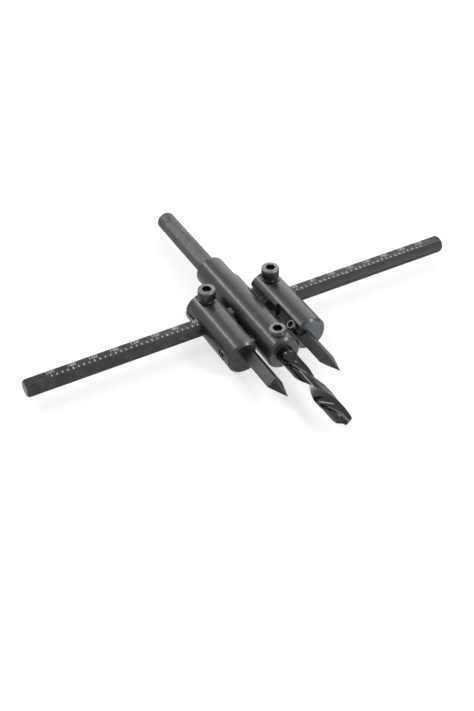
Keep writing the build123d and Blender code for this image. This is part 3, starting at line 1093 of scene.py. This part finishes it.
@dataclass(frozen=True)
class PilotDrill(Assembly):
    """The pilot drill and the screw that holds it."""

    radius: float = 4.0
    relief: float = 0.2
    shank_relief: float = 0.03
    web: float = 2.0
    flute_radius: float = 5.36
    margin: float = 0.9
    margin_step: float = 0.012
    lead: float = 61.0
    hand: int = -1
    point_angle: float = 118.0
    point_turn: float = 131.4
    tip_y: float = -84.407
    rear_y: float = -7.407
    flute_start_y: float = -38.007
    runout: float = 4.5
    margin_parts: int = 8
    land_parts: int = 22
    flute_parts: int = 36
    rings: int = 300
    sharp_from: float = 28.0
    screw_y: float = -27.5
    screw: Screw = Screw(Head.GRUB, 8.0, 1.25, 6.0, Socket(4.0, 3.0))

    def section(self) -> list[Point]:
        """Gives the drill's section: two lands with raised margins, and two flutes.

        Returns:
            The ring's points, in metres, in the XY plane of the rule.
        """
        centre = self.web / 2 + self.flute_radius
        low = self.radius - self.relief
        edge, low_edge = ((reach ** 2 + centre ** 2 - self.flute_radius ** 2) / (2 * centre)
                          for reach in (self.radius, low))
        land, low_land = math.asin(edge / self.radius), math.asin(low_edge / low)
        margin_end = math.asin((edge - self.margin) / self.radius)
        half = [(land + (margin_end - land) * step / self.margin_parts, self.radius)
                for step in range(self.margin_parts + 1)]
        foot = margin_end - self.margin_step
        half += [(foot + (-low_land - margin_end + self.margin_step) * step / self.land_parts, low)
                 for step in range(self.land_parts + 1)]
        for step in range(1, self.flute_parts):
            angle = -low_land + (land + low_land - math.pi) * step / self.flute_parts
            off = angle + math.pi / 2
            chord = math.sqrt(max(self.flute_radius ** 2 - (centre * math.sin(off)) ** 2, 0.0))
            half.append((angle, centre * math.cos(off) - chord))
        ring = half + [(angle - math.pi, reach) for angle, reach in half]
        return [(reach * math.cos(angle) * MM, self.hand * reach * math.sin(angle) * MM, 0.0)
                for angle, reach in ring]

    def build(self) -> None:
        """Makes the drill and its screw."""
        ring = self.section()
        edges = [(index, (index + 1) % len(ring)) for index in range(len(ring))]
        drill = self.shop.flutes.run(mesh_object("drill_section", ring, edges=edges), "fluted_drill", {
            "Rear": row_point(0, self.rear_y, 0).y, "Flute Start": row_point(0, self.flute_start_y, 0).y,
            "Tip": row_point(0, self.tip_y, 0).y, "Runout": self.runout * MM, "Web": self.web / 2 * MM,
            "Shank Radius": (self.radius - self.shank_relief) * MM, "Lead": self.hand * self.lead * MM,
            "Point Slope": 1 / math.tan(math.radians(self.point_angle / 2)),
            "Point Turn": math.radians(self.point_turn), "Rings": self.rings,
            "Material": self.shop.kit.steel(DRILL_BLACK),
        })
        with edited(drill.data) as work:
            bmesh.ops.recalc_face_normals(work, faces=work.faces)
        smooth_by_angle(drill.data, self.sharp_from)
        self.shop.frame.place(drill, "pilot_drill")
        seat = row_point(0, self.screw_y, self.radius + CLEARANCE)
        self.screw.fit(self.shop, "pilot_set_screw", "drill_screw_threaded", seat, UP)


@dataclass(frozen=True)
class ArmLook:
    """What differs between the two arms.

    Attributes:
        cutter_reach: How far the cutter stands out of the holder, in millimetres.
        faced: Colour of the holder's faced nose, darker on the left one as painted shade.
        cutter: Colour of the cutter's ground sides, as painted light: lighter on the left, darker on the
            right.
        point: Colour of the facets of its point, darker than the sides as painted shade.
    """

    cutter_reach: float
    faced: Colour
    cutter: Colour
    point: Colour


# The arms are mirror images; these colours differ between them as painted light and shade.
ARM_REACHES_AND_PAINTED_LIGHT = {
    Side.LEFT: ArmLook(32.0, (0.062, 0.066, 0.068), (0.100, 0.102, 0.109), (0.030, 0.031, 0.034)),
    Side.RIGHT: ArmLook(28.9, (0.125, 0.136, 0.146), (0.044, 0.048, 0.049), (0.040, 0.043, 0.045)),
}


@dataclass(frozen=True)
class ToolArm(Assembly):
    """One cutter holder with its cutter and three screws."""

    side: Side
    position: float = 16.6
    nose_y: float = -28.4
    holder_colour: Colour = (0.033, 0.037, 0.038)
    cutter_width: float = 5.0
    cutter_offset: float = 2.6
    cutter_height: float = 0.15
    point_length: float = 11.0
    clamp_y: float = 7.3
    clamp_seat: float = 7.4
    clamp_lift: float = 1.8
    clamp_hole_radii: tuple[float, float, float] = (5.0, 2.75, 2.55)
    cutter_screw_back: float = 5.9
    side_screw_back: float = 6.9
    clamp_screw: Screw = Screw(Head.CAP, 5.0, 0.8, 15.0, Socket(4.0, 2.5), head_diameter=8.2, head_height=5.0)
    cutter_screw: Screw = replace(SMALL_GRUB, length=3.5, socket=Socket(2.5, 1.75))
    side_screw: Screw = replace(SMALL_GRUB, length=6.8, socket=Socket(2.5, 3.4))

    def build(self) -> None:
        """Makes the arm's five pieces."""
        frame, kit, look = self.shop.frame, self.shop.kit, ARM_REACHES_AND_PAINTED_LIGHT[self.side]
        label, sign = self.side.label, self.side.value
        centre_x = sign * self.position
        axis = (centre_x * MM, 0.0)
        oxide = replace(BODY_OXIDE, name="holder oxide " + label, colour=self.holder_colour, wear=0.6,
                        line_centre=axis)
        # The nose face, cutter sides and point facets take the arm's painted light and shade colours.
        faced = replace(BODY_FACED, name="holder nose faced " + label, colour=look.faced, line_centre=axis)
        ground = replace(CUTTER_GROUND, name="cutter ground " + label, colour=look.cutter)
        point = replace(CUTTER_POINT, name="cutter point " + label, colour=look.point)
        walls = [RoundWall(centre_x, 0, ALONG, BODY_RADIUS)]
        walls += [RoundWall(centre_x, self.clamp_y, UP, radius) for radius in self.clamp_hole_radii]
        holder = frame.dress(label + "_holder", label + "_arm_holder", kit.steel(oxide), walls)
        nose = row_point(0, self.nose_y + ZONE_MARGIN, 0).y
        give_zone(holder, kit.steel(faced), lambda middle, normal: middle.y < nose and normal.y < -END_FACE)
        cutter = frame.dress(label + "_cutter", label + "_arm_cutter", kit.steel(ground))
        bend = row_point(0, self.nose_y - look.cutter_reach + self.point_length, 0).y
        # The point's facets get a darker colour as painted shade.
        give_zone(cutter, kit.steel(point),
                  lambda middle, normal: middle.y < bend and abs(normal.y) < END_FACE)
        stem_end = self.clamp_seat + self.clamp_lift - self.clamp_screw.length
        inner = centre_x - sign * self.cutter_offset
        inwards, outwards = Vector((-sign * math.sqrt(0.5), 0, math.sqrt(0.5))), Vector((sign, 0, 0))
        slanted = row_point(inner, self.nose_y + self.cutter_screw_back, self.cutter_height)
        slanted += inwards * ((self.cutter_width / 2 + CLEARANCE) * MM)
        corner = inner + sign * (self.cutter_width / math.sqrt(2) + CLEARANCE)
        level = row_point(corner, self.nose_y + self.side_screw_back, self.cutter_height)
        for part, screw, tip, direction in (
            ("_clamp_screw", self.clamp_screw, row_point(centre_x, self.clamp_y, stem_end), UP),
            ("_cutter_screw", self.cutter_screw, slanted, inwards),
            ("_side_screw", self.side_screw, level, outwards),
        ):
            screw.fit(self.shop, label + part, label + part + "_threaded", tip, direction)


@dataclass(frozen=True)
class Lamp:
    """A soft lamp that looks at the tool, with its length in line with the tool's axis.

    Attributes:
        name: The lamp's name.
        place: Where it hangs, in metres from the bar's middle.
        size: Its width across the tool's axis and its length.
        power: Its power in watts.
    """

    name: str
    place: Point
    size: tuple[float, float]
    power: float

    def hang(self) -> None:
        """Hangs the lamp in the scene."""
        data = bpy.data.lights.new(self.name, "AREA")
        data.shape = "RECTANGLE"
        data.size, data.size_y = self.size
        data.energy = self.power
        back = Vector(self.place).normalized()
        long = (ALONG - back * back.y).normalized()
        turn = Matrix((long.cross(back), long, back)).transposed().to_4x4()
        place = Matrix.Translation(Vector(self.place) + row_point(0, 0, 0))
        linked(self.name, data).matrix_world = place @ turn


@dataclass(frozen=True)
class Studio:
    """The bench, the lamps and the camera."""

    bench_half: float = 2.5
    bench_colour: float = 0.46
    bench_glow: float = 0.66
    white_from: float = 0.5
    white_to: float = 1.3
    sky_light: float = 0.50
    lamps: tuple[Lamp, ...] = (
        Lamp("rear left strip", (-0.46, 0.76, 0.73), (0.17, 1.0), 4.9),
        Lamp("right wall", (0.88, 0.80, 0.42), (1.6, 0.9), 6.5),
        Lamp("front right", (0.54, -0.60, 0.59), (0.24, 0.24), 3.4),
    )
    lens: float = 60.04
    sensor_height: float = 36.0
    clip: tuple[float, float] = (0.01, 20.0)
    camera_place: Point = (-209.1, -366.6, 343.2)
    camera_right: Point = (0.8737, -0.4865, 0.0)
    camera_up: Point = (0.3209, 0.5764, 0.7516)
    camera_back: Point = (-0.3656, -0.6567, 0.6597)

    def build(self) -> None:
        """Makes the floor, the world, the lamps and the camera."""
        self.floor()
        self.world()
        for lamp in self.lamps:
            lamp.hang()
        self.camera()
        bpy.context.scene.view_settings.view_transform = "Standard"

    def floor(self) -> None:
        """Makes a bench that keeps the tool's shadow, and turns as white as the world far from it."""
        half, z = self.bench_half, BENCH_Z * MM
        corners = [(-half, -half, z), (half, -half, z), (half, half, z), (-half, half, z)]
        floor = mesh_object("bench", corners, [(0, 1, 2, 3)])
        material, g, _ = new_material("white bench")
        g.tree.nodes.clear()
        fade = {"Value": g.vector_math("LENGTH", {0: g.place()}), "From Min": self.white_from,
                "From Max": self.white_to}
        far = g.add("ShaderNodeMapRange", fade, interpolation_type="SMOOTHSTEP").outputs["Result"]
        grey = g.times(g.minus(1.0, far), self.bench_colour)
        glow = g.plus(self.bench_glow, g.times(far, 1.0 - self.bench_glow))
        matt = g.add("ShaderNodeBsdfDiffuse", {"Color": grey})
        shine = g.add("ShaderNodeEmission", {"Color": WHITE, "Strength": g.times(g.backdrop_rays(), glow)})
        both = g.add("ShaderNodeAddShader", {0: matt.outputs[0], 1: shine.outputs[0]})
        under = g.add("ShaderNodeNewGeometry").outputs["Backfacing"]
        clear = g.add("ShaderNodeBsdfTransparent")
        mixed = g.add("ShaderNodeMixShader", {0: under, 1: both.outputs[0], 2: clear.outputs[0]})
        g.add("ShaderNodeOutputMaterial", {"Surface": mixed.outputs[0]})
        floor.data.materials.append(material)

    def world(self) -> None:
        """Makes a plain world: white to the eye and to reflections, softer as a light."""
        world = bpy.data.worlds.new("studio")
        bpy.context.scene.world = world
        world.use_nodes = True
        g = Graph(world.node_tree)
        g.tree.nodes.clear()
        strength = g.plus(self.sky_light, g.times(g.backdrop_rays(), 1.0 - self.sky_light))
        sky = g.add("ShaderNodeBackground", {"Color": WHITE, "Strength": strength})
        g.add("ShaderNodeOutputWorld", {"Surface": sky.outputs[0]})

    def camera(self) -> None:
        """Puts the camera where the picture was taken from."""
        data = bpy.data.cameras.new("camera")
        data.sensor_fit = "VERTICAL"
        data.sensor_height = self.sensor_height
        data.lens = self.lens
        data.clip_start, data.clip_end = self.clip
        turn = Matrix((self.camera_right, self.camera_up, self.camera_back)).transposed().to_4x4()
        camera = linked("camera", data)
        camera.matrix_world = Matrix.Translation(row_point(*self.camera_place)) @ turn
        bpy.context.scene.camera = camera


def main() -> None:
    """Builds every piece in order."""
    logging.basicConfig(level=logging.INFO, format="%(name)s: %(message)s")
    frame = Frame(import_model())
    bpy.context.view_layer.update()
    shop = Workshop(frame, ShaderKit(), rolled_thread(), fluted_sweep(), mark_row())
    Studio().build()
    for assembly in (CrossBar(shop), CentreBody(shop), PilotDrill(shop), ToolArm(shop, Side.LEFT),
                     ToolArm(shop, Side.RIGHT)):
        assembly.build()


if __name__ == "__main__":
    main()
